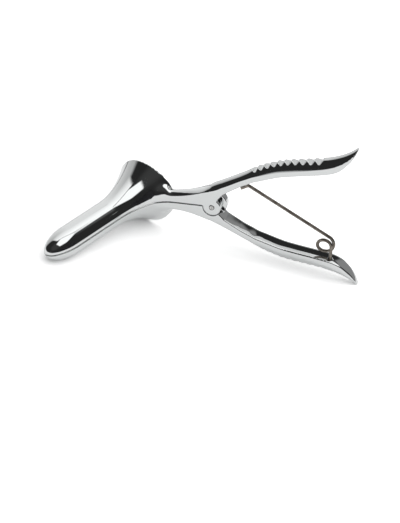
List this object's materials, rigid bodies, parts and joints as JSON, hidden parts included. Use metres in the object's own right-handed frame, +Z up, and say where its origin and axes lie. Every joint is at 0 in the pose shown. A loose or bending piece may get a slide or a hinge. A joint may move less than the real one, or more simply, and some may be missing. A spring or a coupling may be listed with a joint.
{
  "type": "anal speculum",
  "caption": "Hand-held two-blade speculum: closed blades form a flared tube, opened by squeezing sprung grooved grips on a riveted hinge.",
  "frame": {"origin": "middle of the bounding box on the surface that the instrument rests on", "axes": "+Z up as it rests on the lower grip's tip, the flare and the nose of the lower blade; the blades point to -Y, tipped down by about 10 degrees; the grips point to +X and a little to +Y"},
  "size_m": [0.1902, 0.174, 0.1174],
  "materials": {
    "polished_steel": "mirror-polished stainless steel",
    "rivet_steel": "ground flush stainless rivet",
    "spring_wire": "dull drawn spring wire"
  },
  "bodies": {
    "lower_lever": {"lower_lever": "polished_steel", "pivot_pin": "rivet_steel"},
    "upper_lever": {"upper_lever": "polished_steel"},
    "return_spring": {"return_spring": "spring_wire"}
  },
  "joints": [
    {"name": "blade_hinge", "type": "hinge", "parent": "lower_lever", "child": "upper_lever", "pos_m": [-0.01426, 0.03347, 0.03581], "axis": [-0.3994, 0.9112, 0.1005], "range_deg": [0, 25], "stiffness_Nm_per_rad": 1, "springref_deg": -20.05},
    {"name": "spring_foot", "type": "hinge", "parent": "lower_lever", "child": "return_spring", "pos_m": [0.07339, 0.07165, 0.01661], "axis": [0.3994, -0.9112, -0.1005], "range_deg": [0, 18.5]}
  ],
  "couplings": [
    {"joint": "spring_foot", "follows": "blade_hinge", "ratio": 0.72}
  ]
}
